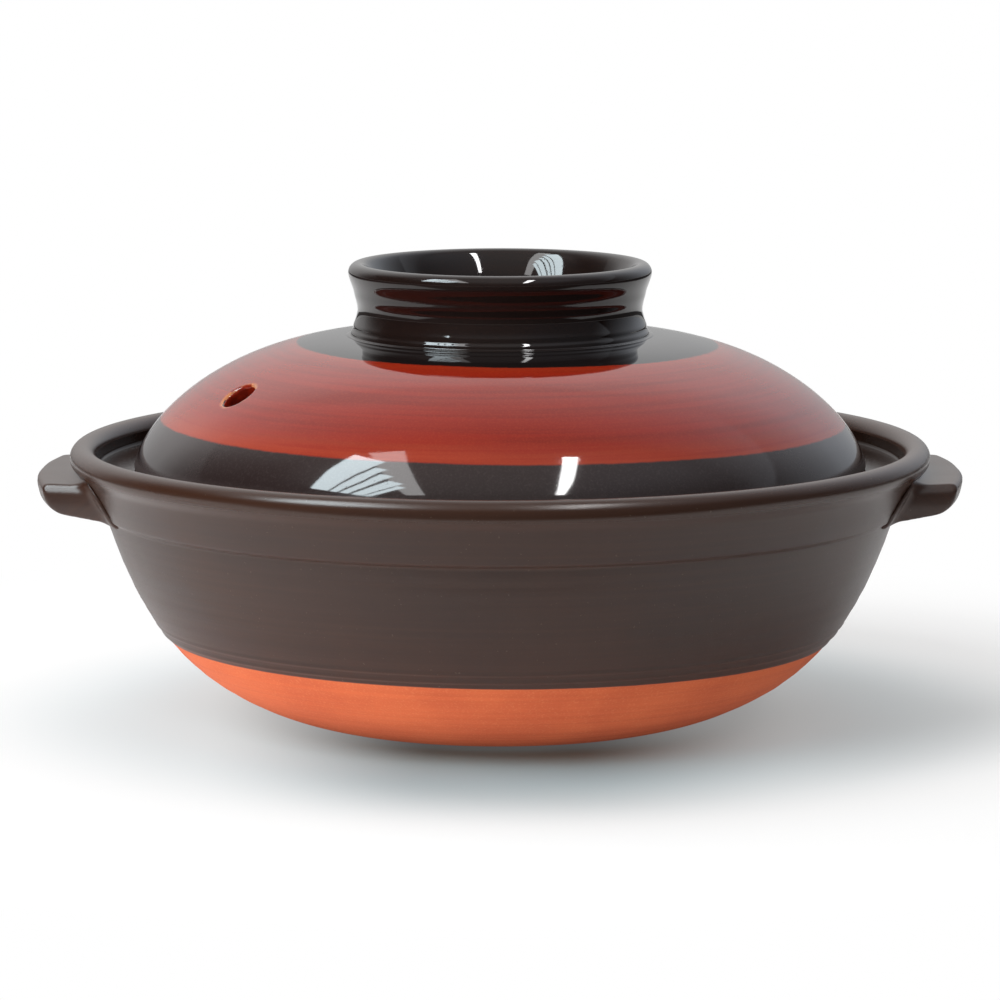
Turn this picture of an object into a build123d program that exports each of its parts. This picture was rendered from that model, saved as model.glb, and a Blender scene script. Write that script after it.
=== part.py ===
"""Donabe: a lidded earthenware pot for cooking at the table.

Five pieces of fired clay. The bowl carries two side lugs, and the lid is a dome with a
hollow ring on top to hold it by. The bowl and its lugs are luted together before firing,
and so are the dome and its ring, so that two loose things leave the kiln: pot and lid.

Millimetres. +Z is up, the lugs lie along X, and the origin is the middle of the foot, on the
surface that the pot stands on.
"""

from build123d import *
import math
import os

os.makedirs("parts", exist_ok=True)

# Lip rolled round the rim of the bowl
rim_diameter = 285.0
rim_height = 90.6
lip_thickness = 8.4
lip_curl = 70.0  # degrees that the lip curls under, past its widest line

# Band under the lip, and the small step where the band ends
band_height = 13.4
band_taper = 6.7
step_depth = 2.0
step_drop = 0.7

# Wall of the bowl: one curve from the step to the foot
wall_thickness = 8.0
wall_top_lean = 18.0  # degrees off upright
wall_top_pull_share = 0.44  # of the curve's height
wall_foot_climb = 13.0  # degrees off level
wall_foot_pull_share = 0.67  # of the curve's width
wall_inset_shares = (0.14, 0.32, 0.5, 0.68, 0.86)

# Floor and foot
floor_thickness = 6.5
floor_diameter = 118.0
foot_diameter = 132.0
foot_ring_width = 8.0
foot_recess = 2.0

# Ledge inside the rim that carries the lid
ledge_drop = 4.2  # below the middle of the lip
ledge_bearing = 5.2
ledge_nose = 6.0
ledge_edge_round = 1.5

# Side lugs
lug_length = 80.0
lug_overhang = 11.2  # past the rim
lug_gap_under_lip = 1.2
lug_root_thickness = 12.4
lug_tip_thickness = 9.4
lug_tip_lean = 2.0
lug_root_depth = 6.0
lug_top_round = 2.5
lug_bottom_round = 5.0
lug_end_round = 2.0

# Lid dome
lid_clearance = 7.2  # all round, between the lid and the rim
lid_rise = 44.1
lid_thickness = 6.5
lid_edge_lean = 16.0  # degrees off upright
lid_edge_pull_share = 0.32  # of the dome's height
lid_crown_fall = 2.8  # degrees off level
lid_crown_pull_share = 0.63  # of the dome's width
lid_inset_shares = (0.0, 0.2, 0.4, 0.6, 0.8, 1.0)
lid_edge_round = 1.5

# Steam hole through the lid
steam_hole_diameter = 10.5
steam_hole_share = 0.56  # of the dome's curve, from the crown down
steam_hole_turn = 209.5  # degrees round the lid from +X

# Knob: a hollow ring luted on the crown of the lid
knob_height = 23.9
knob_radius = 50.2  # at its lip
knob_lip_thickness = 6.5
knob_base_thickness = 8.4
knob_base_inset = 1.8  # inside the lip, as are the waist and the neck
knob_waist_inset = 3.1
knob_neck_inset = 1.7
knob_waist_share = 0.305  # of the knob's height
knob_neck_share = 0.586
crown_margin = 0.4  # of flat crown outside the knob

# Cuts run past the faces that they open
overrun = 10.0

# Places that several pieces share
rim_radius = rim_diameter / 2
lip_radius = lip_thickness / 2
lip_middle_radius = rim_radius - lip_radius
lip_middle_height = rim_height - lip_radius
band_top_radius = lip_middle_radius + lip_radius * math.cos(math.radians(lip_curl))
band_top_height = lip_middle_height - lip_radius * math.sin(math.radians(lip_curl))
band_foot_radius = band_top_radius - band_taper
band_foot_height = band_top_height - band_height
wall_top_radius = band_foot_radius - step_depth
wall_top_height = band_foot_height - step_drop
foot_radius = foot_diameter / 2
ledge_height = lip_middle_height - ledge_drop
ledge_outer_radius = rim_radius - lip_thickness - ledge_drop
lid_radius = ledge_outer_radius - lid_clearance
ledge_inner_radius = lid_radius - ledge_bearing
crown_height = ledge_height + lid_rise
knob_base_radius = knob_radius - knob_base_inset
crown_radius = knob_base_radius + crown_margin


def curve_points(start, end, start_angle, start_pull, end_angle, end_pull):
    """Four control points of a curve from its ends and the way it leaves each of them."""
    leave = Vector(start_pull, 0).rotate(Axis.Z, start_angle)
    arrive = Vector(end_pull, 0).rotate(Axis.Z, end_angle)
    return start, Vector(*start) + leave, Vector(*end) + arrive, end


def inset_point(curve, share, depth):
    """The point that lies depth inside a downward curve, square to it, at a share of its length."""
    along = curve % share
    return curve @ share + Vector(along.Y, -along.X) * depth


# Bowl: its whole section, from the wall down to the foot, up the inside and over the lip
with BuildPart() as bowl:
    with BuildSketch(Plane.XZ):
        with BuildLine():
            wall_run = wall_top_radius - foot_radius
            wall = Bezier(
                *curve_points(
                    (wall_top_radius, wall_top_height),
                    (foot_radius, 0),
                    270 - wall_top_lean,
                    wall_top_pull_share * wall_top_height,
                    wall_foot_climb,
                    wall_foot_pull_share * wall_run,
                )
            )
            floor_edge = (floor_diameter / 2, foot_recess + floor_thickness)
            Polyline(
                (foot_radius, 0),
                (foot_radius - foot_ring_width, 0),
                (foot_radius - foot_ring_width - foot_recess, foot_recess),
                (0, foot_recess),
                (0, foot_recess + floor_thickness),
                floor_edge,
            )
            nose_foot = (ledge_inner_radius, ledge_height - ledge_nose)
            hollow_points = [inset_point(wall, share, wall_thickness) for share in wall_inset_shares]
            Spline(nose_foot, *hollow_points, floor_edge, tangents=((0, -1), (-1, 0)))
            nose_top = (ledge_inner_radius, ledge_height - ledge_edge_round)
            Line(nose_foot, nose_top)
            edge_middle = (ledge_inner_radius + ledge_edge_round, ledge_height - ledge_edge_round)
            CenterArc(edge_middle, ledge_edge_round, 90, 90)
            Line((ledge_inner_radius + ledge_edge_round, ledge_height), (ledge_outer_radius, ledge_height))
            CenterArc((ledge_outer_radius, lip_middle_height), ledge_drop, 270, 90)
            CenterArc((lip_middle_radius, lip_middle_height), lip_radius, -lip_curl, 180 + lip_curl)
            Polyline(
                (band_top_radius, band_top_height),
                (band_foot_radius, band_foot_height),
                (wall_top_radius, wall_top_height),
            )
        make_face()
    revolve(axis=Axis.Z)
bowl.part.label = "bowl"
export_step(bowl.part, "parts/bowl.step")

# Lug on the +X side: a turned section cut off square at both ends, then trimmed to the band
lug_top_height = band_top_height - lug_gap_under_lip
lug_reach = rim_radius + lug_overhang
lug_root_radius = band_foot_radius - lug_root_depth
with BuildPart() as lug_right:
    with BuildSketch(Plane.XZ) as lug_section:
        tip_top = (lug_reach, lug_top_height)
        tip_foot = (lug_reach - lug_tip_lean, lug_top_height - lug_tip_thickness)
        with BuildLine():
            Polyline(
                (lug_root_radius, lug_top_height),
                tip_top,
                tip_foot,
                (band_foot_radius, lug_top_height - lug_root_thickness),
                (lug_root_radius, lug_top_height - lug_root_thickness),
                close=True,
            )
        make_face()
        fillet(lug_section.vertices().sort_by_distance(tip_top)[0], lug_top_round)
        fillet(lug_section.vertices().sort_by_distance(tip_foot)[0], lug_bottom_round)
    revolve(axis=Axis.Z)
    kept_side = (Align.MIN, Align.CENTER, Align.MIN)
    Box(lug_reach, lug_length, rim_height, align=kept_side, mode=Mode.INTERSECT)
    open_edges = [face.edges().sort_by(Axis.X)[1:] for face in lug_right.faces().filter_by(Axis.Y)]
    fillet(open_edges[0] + open_edges[1], lug_end_round)
    add(bowl.part, mode=Mode.SUBTRACT)
lug_right.part.label = "lug_right"
export_step(lug_right.part, "parts/lug_right.step")

# Lug on the -X side: the same tab, the other way round
with BuildPart() as lug_left:
    mirror(lug_right.part, about=Plane.YZ)
lug_left.part.label = "lug_left"
export_step(lug_left.part, "parts/lug_left.step")

# Lid dome: flat crown, one curve down to the edge, hollow below, steam hole square to its surface
with BuildPart() as lid_dome:
    with BuildSketch(Plane.XZ):
        with BuildLine():
            dome = Bezier(
                *curve_points(
                    (crown_radius, crown_height),
                    (lid_radius, ledge_height),
                    -lid_crown_fall,
                    lid_crown_pull_share * (lid_radius - crown_radius),
                    90 + lid_edge_lean,
                    lid_edge_pull_share * lid_rise,
                )
            )
            Polyline(
                (lid_radius, ledge_height),
                (0, ledge_height),
                (0, crown_height),
                (crown_radius, crown_height),
            )
        make_face()
    revolve(axis=Axis.Z)
    with BuildSketch(Plane.XZ):
        with BuildLine():
            vault_points = [inset_point(dome, share, lid_thickness) for share in lid_inset_shares]
            vault = Spline(*vault_points, tangents=(dome % 0, dome % 1))
            Polyline(vault @ 1, (0, (vault @ 1).Y), (0, (vault @ 0).Y), vault @ 0)
        make_face()
    revolve(axis=Axis.Z, mode=Mode.SUBTRACT)
    seat_edges = lid_dome.edges().filter_by(GeomType.CIRCLE).group_by(Axis.Z)[0]
    fillet(seat_edges, lid_edge_round)
    hole_spot = dome @ steam_hole_share
    hole_along = dome % steam_hole_share
    hole_centre = Vector(hole_spot.X, 0, hole_spot.Y).rotate(Axis.Z, steam_hole_turn)
    hole_way = Vector(-hole_along.Y, 0, hole_along.X).rotate(Axis.Z, steam_hole_turn)
    with BuildSketch(Plane(origin=hole_centre, z_dir=hole_way)):
        Circle(steam_hole_diameter / 2)
    extrude(amount=lid_thickness + overrun, both=True, mode=Mode.SUBTRACT)
lid_dome.part.label = "lid_dome"
export_step(lid_dome.part, "parts/lid_dome.step")

# Knob: a waisted ring with a rolled lip, open above and closed below by the crown of the lid
with BuildPart() as lid_knob:
    with BuildSketch(Plane.XZ):
        with BuildLine():
            knob_lip_round = knob_lip_thickness / 2
            knob_lip_height = crown_height + knob_height - knob_lip_round
            Spline(
                (knob_base_radius, crown_height),
                (knob_radius - knob_waist_inset, crown_height + knob_waist_share * knob_height),
                (knob_radius - knob_neck_inset, crown_height + knob_neck_share * knob_height),
                (knob_radius, knob_lip_height),
            )
            CenterArc((knob_radius - knob_lip_round, knob_lip_height), knob_lip_round, 0, 180)
            Polyline(
                (knob_radius - knob_lip_thickness, knob_lip_height),
                (knob_base_radius - knob_base_thickness, crown_height),
                (knob_base_radius, crown_height),
            )
        make_face()
    revolve(axis=Axis.Z)
lid_knob.part.label = "lid_knob"
export_step(lid_knob.part, "parts/lid_knob.step")
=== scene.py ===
"""Donabe: the look of a lidded earthenware pot, built round its CAD frame.

The turned pieces are outlines spun round Z, and the lugs are slabs pressed on to the bowl. Glazes
and bare clay are node materials on Object coordinates. Metres. +Z is up, the lugs lie along X, and
the camera looks along +Y.
"""

import math

import bmesh
import bpy
from mathutils import Matrix, Vector, noise
from mathutils.bvhtree import BVHTree
from mathutils.geometry import interpolate_bezier


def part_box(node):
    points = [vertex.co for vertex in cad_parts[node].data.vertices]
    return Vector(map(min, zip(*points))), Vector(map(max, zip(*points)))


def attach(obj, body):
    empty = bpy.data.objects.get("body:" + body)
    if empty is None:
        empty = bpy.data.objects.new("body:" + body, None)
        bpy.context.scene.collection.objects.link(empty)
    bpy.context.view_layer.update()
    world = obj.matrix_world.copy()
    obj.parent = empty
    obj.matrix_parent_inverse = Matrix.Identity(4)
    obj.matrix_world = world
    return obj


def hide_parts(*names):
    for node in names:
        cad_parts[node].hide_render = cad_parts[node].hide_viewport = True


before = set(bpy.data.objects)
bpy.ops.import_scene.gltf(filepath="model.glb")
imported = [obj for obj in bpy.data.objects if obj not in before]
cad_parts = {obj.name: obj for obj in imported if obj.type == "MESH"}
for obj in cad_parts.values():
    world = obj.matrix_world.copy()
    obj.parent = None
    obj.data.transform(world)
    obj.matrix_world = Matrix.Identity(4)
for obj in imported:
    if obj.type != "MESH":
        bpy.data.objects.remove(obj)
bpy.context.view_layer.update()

bl_info = {
    "name": "Donabe",
    "version": (1, 0, 0),
    "blender": (4, 5, 0),
    "location": "3D View > Sidebar > Donabe",
    "description": "Builds a lidded earthenware pot with its glazes, and the stage it stands on",
    "category": "Object",
}

MM = 0.001
SAME_PLACE = 0.001 * MM
SMALLEST_EDGE = 0.02 * MM
UP = Vector((0, 0, 1))
NOWHERE = Vector((0, 0, 0))
WHITE = (1.0, 1.0, 1.0)
SOFT_HANDLE_SHARE = 0.55  # of a corner's cut, which makes its curve nearly round
BOWL_PIECE = "bowl_glazed"

bowl_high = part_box("bowl")[1]
lug_low, lug_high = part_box("lug_right")
dome_low, dome_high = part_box("lid_dome")
knob_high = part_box("lid_knob")[1]


def length(name, description, default):
    """A length that a user can change, in metres."""
    return bpy.props.FloatProperty(
        name=name, description=description, default=default, min=0.0, unit="LENGTH", precision=5
    )


def angle(name, description, degrees):
    """An angle that a user can change. It is given in degrees and kept in radians."""
    return bpy.props.FloatProperty(
        name=name, description=description, default=math.radians(degrees), subtype="ANGLE"
    )


def share(name, description, default):
    """A share from 0 to 1 that a user can change."""
    return bpy.props.FloatProperty(
        name=name, description=description, default=default, min=0.0, max=1.0, subtype="FACTOR"
    )


def amount(name, description, default):
    """A strength that a user can change."""
    return bpy.props.FloatProperty(name=name, description=description, default=default, min=0.0)


def count(name, description, default):
    """A whole number of steps that a user can change."""
    return bpy.props.IntProperty(name=name, description=description, default=default, min=3)


def from_display(value):
    """A display value from 0 to 255 as the linear value that shaders use."""
    value /= 255
    return value / 12.92 if value <= 0.04045 else ((value + 0.055) / 1.055) ** 2.4


def paint(name, description, red, green, blue):
    """A colour that a user can change. It is given in display values from 0 to 255."""
    linear = [from_display(value) for value in (red, green, blue)]
    return bpy.props.FloatVectorProperty(
        name=name, description=description, default=linear, min=0.0, max=1.0, subtype="COLOR"
    )


class BowlSizes(bpy.types.PropertyGroup):
    """Sizes of the bowl."""

    rim_radius: length("Rim radius", "Out to the widest line of the lip", bowl_high.x - 0.04 * MM)
    rim_height: length("Rim height", "Up to the top of the lip", bowl_high.z)
    lip_thickness: length("Lip thickness", "Diameter of the rolled lip", 8.4 * MM)
    lip_curl: angle("Lip curl", "How far the lip curls under, past its widest line", 70)
    band_height: length("Band height", "Height of the band under the lip", 13.4 * MM)
    band_taper: length("Band taper", "How far the band draws in towards its foot", 6.7 * MM)
    step_depth: length("Step depth", "How far the wall stands back under the band", 2.0 * MM)
    step_drop: length("Step drop", "Height of the step under the band", 0.7 * MM)
    step_round: length("Step rounding", "Softness of the band's lower edge", 1.1 * MM)
    wall_thickness: length("Wall thickness", "Thickness of the wall", 8.0 * MM)
    wall_top_lean: angle("Wall lean", "Lean of the wall under the step, off upright", 18)
    wall_top_pull: length("Wall shoulder", "How long the wall keeps its lean", 30.07 * MM)
    wall_foot_climb: angle("Wall climb", "Climb of the wall at the foot, off level", 13)
    wall_foot_pull: length("Wall hip", "How long the wall keeps its climb", 43.6 * MM)
    floor_radius: length("Floor radius", "Flat floor inside", 59.0 * MM)
    floor_thickness: length("Floor thickness", "Thickness of the floor", 6.5 * MM)
    foot_radius: length("Foot radius", "Outside of the foot ring", 66.0 * MM)
    foot_width: length("Foot width", "Width of the foot ring", 8.0 * MM)
    foot_recess: length("Foot recess", "Depth of the hollow inside the foot ring", 2.0 * MM)
    ledge_drop: length("Ledge drop", "From the middle of the lip down to the ledge", 4.2 * MM)
    ledge_radius: length("Ledge radius", "Inside of the ledge that carries the lid", 117.5 * MM)
    ledge_nose: length("Ledge nose", "Height of the ledge's upright nose", 6.0 * MM)
    ledge_round: length("Ledge rounding", "Rounding of the ledge's nose", 1.5 * MM)
    mark_height: length("Wheel marks", "Height of the marks left by the wheel", 0.13 * MM)
    mark_spacing: length("Mark spacing", "Distance between the marks left by the wheel", 4.2 * MM)
    ridge_height: length("Ridge height", "Height of the two fine ridges over the glaze line", 0.3 * MM)
    ridge_width: length("Ridge width", "Width of the two fine ridges", 0.5 * MM)
    lower_ridge: length("Lower ridge", "Height of the lower fine ridge above the floor", 29.1 * MM)
    upper_ridge: length("Upper ridge", "Height of the upper fine ridge above the floor", 31.9 * MM)
    glaze_line: length("Glaze line", "Height at which the glaze ends over bare clay", 26.7 * MM)
    glaze_tilt: share("Glaze tilt", "Fall of the glaze line towards the right", 0.007)
    glaze_depth: length("Glaze depth", "Thickness of the glaze at its lower edge", 0.2 * MM)
    steps: count("Steps", "Steps in one turn of the bowl", 384)


class LugSizes(bpy.types.PropertyGroup):
    """Sizes of the two side lugs."""

    reach: length("Reach", "Out to the tip, from the middle of the bowl", lug_high.x + 0.6 * MM)
    span: length("Span", "Length of the lug along the rim", lug_high.y - lug_low.y)
    top: length("Top", "Height of the flat top above the floor", lug_high.z)
    root_radius: length("Root radius", "How far in the lug's underside starts, in the band", 131.0 * MM)
    root_top_radius: length("Root top", "How far in the lug's top starts, in the lip", 136.6 * MM)
    band_foot: length("Band foot", "Where the underside leaves the band", 133.04 * MM)
    root_thickness: length("Root thickness", "Thickness at the band", 12.8 * MM)
    tip_thickness: length("Tip thickness", "Thickness at the tip", 9.4 * MM)
    tip_lean: length("Tip lean", "How far the tip's lower edge stands back", 2.0 * MM)
    top_round: length("Top rounding", "Rounding of the tip's upper edge", 2.5 * MM)
    bottom_round: length("Bottom rounding", "Rounding of the tip's lower edge", 5.0 * MM)
    end_round: length("End rounding", "Rounding of the edges round both ends", 0.8 * MM)
    end_facet: length("End facet", "Height of the sloping facet at the top of each end", 3.0 * MM)
    facet_tilt: angle("Facet tilt", "How far the facet at the ends faces up", 30)
    end_taper: angle("End taper", "How far the ends turn towards the tip", 15)
    corner_round: length("Corner rounding", "Rounding of the tip's two corners, seen from above", 4.0 * MM)
    grain: length("Mesh size", "Size of the even mesh that the clay is shaped in", 0.6 * MM)
    top_fillet: length("Top fillet", "Hollow curve from the flat top up to the lip", 4.0 * MM)
    join_fillet: length("Join fillet", "Hollow curve of the luted joint at the band", 3.2 * MM)
    belly: length("End belly", "How far the ends draw in at the bottom, like a barrel", 2.6 * MM)
    unevenness: length("Unevenness", "How far the hand-shaped faces wander", 0.16 * MM)


class LidSizes(bpy.types.PropertyGroup):
    """Sizes of the lid's dome and its steam hole."""

    radius: length("Radius", "Outer radius at the seat", 121.4 * MM)
    seat: length("Seat height", "Height of the flat seat above the floor", dome_low.z)
    crown: length("Crown height", "Height of the flat crown above the floor", dome_high.z)
    crown_radius: length("Crown radius", "Radius of the flat crown", 48.8 * MM)
    thickness: length("Thickness", "Thickness of the dome", 6.5 * MM)
    crown_fall: angle("Crown fall", "Fall of the dome beside the crown, off level", 2.8)
    crown_pull: length("Crown shoulder", "How long the dome keeps that fall", 45.0 * MM)
    edge_lean: angle("Edge lean", "Lean of the dome's edge, off upright", 5)
    edge_pull: length("Edge shoulder", "How long the edge keeps that lean", 14.5 * MM)
    edge_round: length("Edge rounding", "Rounding of both edges of the seat", 1.5 * MM)
    hole_radius: length("Steam hole radius", "Radius of the steam hole", 5.45 * MM)
    hole_distance: length("Steam hole distance", "From the lid's axis to the hole", 96.94 * MM)
    hole_height: length("Steam hole height", "Height of the hole above the floor", 111.78 * MM)
    hole_turn: angle("Steam hole turn", "Place of the hole round the lid, from +X", 209.5)
    hole_tilt: angle("Steam hole tilt", "Tilt of the hole from upright", 32.53)
    hole_round: length("Steam hole rounding", "Rounding of the hole's two rims", 1.4 * MM)
    crown_line: length("Crown line", "Height at which the black crown ends", 123.25 * MM)
    red_line: length("Red line", "Height at which the red band ends over the dark one", 98.0 * MM)
    sway: length("Sway", "How far the dome wanders from its true curve", 0.07 * MM)
    steps: count("Steps", "Steps in one turn of the lid", 240)


class KnobSizes(bpy.types.PropertyGroup):
    """Sizes of the hollow knob."""

    radius: length("Radius", "Outer radius at the lip", knob_high.x)
    top: length("Top", "Height of the lip above the floor", knob_high.z)
    lip_thickness: length("Lip thickness", "Thickness of the rounded lip", 6.5 * MM)
    base_thickness: length("Base thickness", "Thickness of the wall at the crown", 11.4 * MM)
    base_inset: length("Base inset", "How far the base stands inside the lip", 0.75 * MM)
    step_width: length("Step width", "How far each of the two fine steps at the base stands out", 0.85 * MM)
    step_height: length("Step height", "Height of each fine step at the base", 2.3 * MM)
    step_slope: length("Step slope", "Height of the slope on top of the lower step", 1.2 * MM)
    waist_sweep: length("Waist sweep", "Softness of the hollow over the upper step", 1.5 * MM)
    waist_inset: length("Waist inset", "How far the waist stands inside the lip", 3.1 * MM)
    waist_height: length("Waist height", "Height of the waist above the crown", 7.9 * MM)
    neck_inset: length("Neck inset", "How far the neck stands inside the lip", 1.95 * MM)
    neck_height: length("Neck height", "Height of the neck above the crown", 14.0 * MM)
    inner_fillet: length("Inner fillet", "Size of the hollow curve inside the ring", 3.0 * MM)
    fillet: length("Fillet", "Size of the hollow curve on to the crown", 0.9 * MM)
    funnel_depth: length("Funnel depth", "How deep the inside narrows below the lip", 13.0 * MM)
    funnel_width: length("Funnel width", "How far the inside narrows below the lip", 8.0 * MM)
    sink: length("Sink", "How deep the base is luted into the crown", 0.6 * MM)
    sway: length("Sway", "How far the ring wanders from round", 0.04 * MM)
    steps: count("Steps", "Steps in one turn of the knob", 160)


class Colours(bpy.types.PropertyGroup):
    """Colours of the clay and of the glazes."""

    brown: paint("Brown glaze", "Satin glaze on the bowl and lugs", 58, 39, 32)
    brown_thin: paint("Thin brown glaze", "The same glaze where it lies thin", 92, 57, 38)
    brown_lip: paint("Lip glaze", "The same glaze on the lip, where it has run thin", 60, 35, 22)
    brown_speck: paint("Brown speck", "Pale specks in the satin glaze", 128, 112, 100)
    inside: paint("Inside glaze", "Glaze inside the bowl", 27, 20, 17)
    clay: paint("Clay", "Bare fired clay", 228, 110, 62)
    clay_dark: paint("Dark clay", "Bare clay where it is shaded by the fire", 200, 84, 46)
    clay_pale: paint("Pale clay", "Pale grains in the bare clay", 240, 146, 98)
    black: paint("Black glaze", "Glossy glaze on the knob and crown", 24, 19, 19)
    dark: paint("Dark band", "Speckled band at the edge of the lid", 53, 42, 41)
    dark_speck: paint("Dark band speck", "Specks in the dark band", 84, 74, 73)
    red: paint("Red glaze", "Brushed red-brown band of the lid", 155, 38, 19)
    red_deep: paint("Deep red glaze", "Darker brush strokes in the red band", 117, 29, 18)
    red_warm: paint("Warm red glaze", "Where the red runs thin at its edges", 194, 74, 36)
    rim_break: paint("Rim break", "Where the glaze thins on the rim of the steam hole", 208, 132, 84)


class StageSettings(bpy.types.PropertyGroup):
    """Camera, lights and surroundings."""

    camera_distance: length("Camera distance", "From the camera to the middle of the pot", 1.7605)
    camera_rise: angle("Camera elevation", "How far the camera looks down", 8.233)
    camera_aim: length("Aim height", "Height that the camera aims at", 0.0707)
    camera_lens: bpy.props.FloatProperty(
        name="Lens", description="Focal length for a 36 mm sensor", default=190.6, unit="CAMERA"
    )
    ceiling: length("Ceiling", "Height of the window and of the narrow light", 1.4)
    window: amount("Window", "Brightness of the window panes in the glaze", 15.0)
    blind: amount("Blind", "Brightness of the blind that covers part of the window", 5.0)
    strip: amount("Strip", "Brightness of the narrow ceiling light in the glaze", 30.0)
    side_key: amount("Side key", "Power of the soft light from the window's side, in watts", 16.0)
    back_key: amount("Back key", "Power of the soft light from above and behind, in watts", 6.0)
    fill: amount("Fill", "Strength of the room's light", 1.0)
    bounce: amount("Bounce", "Light that the floor throws up at the pot", 1.3)


class DonabeSettings(bpy.types.PropertyGroup):
    """All that a user can change."""

    bowl: bpy.props.PointerProperty(type=BowlSizes, name="Bowl", description="Sizes of the bowl")
    lugs: bpy.props.PointerProperty(type=LugSizes, name="Lugs", description="Sizes of the lugs")
    lid: bpy.props.PointerProperty(type=LidSizes, name="Lid", description="Sizes of the lid")
    knob: bpy.props.PointerProperty(type=KnobSizes, name="Knob", description="Sizes of the knob")
    colours: bpy.props.PointerProperty(type=Colours, name="Colours", description="Clay and glazes")
    stage: bpy.props.PointerProperty(type=StageSettings, name="Stage", description="Camera and light")


# Outlines in the (radius, height) plane


def polar(turn, reach):
    """A step in the plane, turned from +radius towards +height."""
    return Vector((math.cos(turn), math.sin(turn))) * reach


def curve(start, end, leave, leave_pull, arrive, arrive_pull, points):
    """A smooth curve from the way it leaves each of its ends."""
    start, end = Vector(start), Vector(end)
    return interpolate_bezier(
        start, start + polar(leave, leave_pull), end + polar(arrive, arrive_pull), end, points
    )


def arc(centre, radius, start, end, points):
    """Part of a circle."""
    step = (end - start) / (points - 1)
    return [Vector(centre) + polar(start + step * index, radius) for index in range(points)]


def straight(start, end, points):
    """A straight run with points along it."""
    return [Vector(start).lerp(Vector(end), index / (points - 1)) for index in range(points)]


def soft_corner(before, corner, after, cut, points=6):
    """A rounded corner that starts and ends a cut's length from the sharp one."""
    corner = Vector(corner)
    start = corner + (Vector(before) - corner).normalized() * cut
    end = corner + (Vector(after) - corner).normalized() * cut
    pulls = start.lerp(corner, SOFT_HANDLE_SHARE), end.lerp(corner, SOFT_HANDLE_SHARE)
    return interpolate_bezier(start, *pulls, end, points)


def inset(points, depth):
    """The points that lie depth to the right of a curve, square to it."""
    moved = []
    for index, point in enumerate(points):
        along = points[min(index + 1, len(points) - 1)] - points[max(index - 1, 0)]
        along.normalize()
        moved.append(point + Vector((along.y, -along.x)) * depth)
    return moved


def smooth_share(value, low, high):
    """0 below low, 1 above high, and a soft rise between them."""
    share_up = min(max((value - low) / (high - low), 0.0), 1.0)
    return share_up * share_up * (3 - 2 * share_up)


# Shapes


def turned(outline, steps, closed=False):
    """An outline spun once round Z, as a closed shape that faces outwards."""
    shape = bmesh.new()
    line = []
    for radius, height in outline:
        if not line or (Vector((radius, 0, height)) - line[-1].co).length > SMALLEST_EDGE:
            line.append(shape.verts.new((radius, 0, height)))
    pairs = list(zip(line, line[1:]))
    if closed:
        pairs.append((line[-1], line[0]))
    edges = [shape.edges.new(pair) for pair in pairs]
    bmesh.ops.spin(
        shape, geom=line + edges, cent=NOWHERE, axis=UP, angle=math.tau, steps=steps, use_merge=True
    )
    bmesh.ops.remove_doubles(shape, verts=shape.verts, dist=SAME_PLACE)
    bmesh.ops.recalc_face_normals(shape, faces=shape.faces)
    shape.normal_update()
    return shape


def wheel_mark(point, climb, spacing, drift):
    """Height from -1 to 1 of the rings left by the wheel, which waver a little on their way round."""
    radius = max(math.hypot(point.x, point.y), MM)
    around = Vector((point.x, point.y, 0)) / radius * drift
    return noise.noise(around + UP * ((radius + climb * point.z) / spacing))


def as_object(name, shape, *materials):
    """Turns a shape into an object of the scene and frees the shape."""
    mesh = bpy.data.meshes.new(name)
    shape.to_mesh(mesh)
    shape.free()
    for material in materials:
        mesh.materials.append(material)
    thing = bpy.data.objects.new(name, mesh)
    bpy.context.collection.objects.link(thing)
    return thing


def make_piece(name, shape, materials, body, slot, *nodes):
    """Turns a finished shape into an object that rides on a body and stands for its CAD nodes."""
    for face in shape.faces:
        face.smooth = True
    piece = as_object(name, shape, *materials)
    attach(piece, body)
    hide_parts(*nodes)


def everything(shape):
    """All vertices, edges and faces of a shape."""
    return shape.verts[:] + shape.edges[:] + shape.faces[:]


def rounded(shape, geom, cut, segments, affect):
    """Rounds corners (VERTICES) or edges (EDGES) of a shape."""
    bmesh.ops.bevel(
        shape,
        geom=geom,
        offset=cut,
        offset_type="OFFSET",
        segments=segments,
        profile=0.5,
        affect=affect,
        clamp_overlap=affect == "EDGES",
        material=-1,
    )


# Nodes


def put(tree, kind, feeds=None, **settings):
    """Adds a node, sets it up, and feeds its inputs with values or with other nodes' outputs."""
    node = tree.nodes.new(kind)
    for name, value in settings.items():
        setattr(node, name, value)
    for key, value in (feeds or {}).items():
        socket = node.inputs[key]
        if isinstance(value, bpy.types.NodeSocket):
            tree.links.new(value, socket)
        elif socket.type == "RGBA":
            socket.default_value = (*value, 1.0)
        else:
            socket.default_value = value
    return node


def calc(tree, operation, first, second=0.0, third=0.0):
    """One step of arithmetic."""
    return put(tree, "ShaderNodeMath", {0: first, 1: second, 2: third}, operation=operation).outputs[0]


def mixed(tree, factor, first, second):
    """Two colours mixed by a factor."""
    feeds = {0: factor, 6: first, 7: second}
    return put(tree, "ShaderNodeMix", feeds, data_type="RGBA").outputs[2]


def between(tree, factor, first, second):
    """Two values mixed by a factor."""
    return put(tree, "ShaderNodeMix", {0: factor, 2: first, 3: second}).outputs[0]


def ranged(tree, value, low, high, to_low=0.0, to_high=1.0):
    """A value carried softly from one range to another."""
    feeds = {0: value, 1: low, 2: high, 3: to_low, 4: to_high}
    return put(tree, "ShaderNodeMapRange", feeds, interpolation_type="SMOOTHSTEP").outputs[0]


def object_place(tree):
    """Each point's place on its object."""
    return put(tree, "ShaderNodeTexCoord").outputs["Object"]


def xyz(tree, vector):
    """The three parts of a vector."""
    return put(tree, "ShaderNodeSeparateXYZ", {0: vector}).outputs


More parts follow.
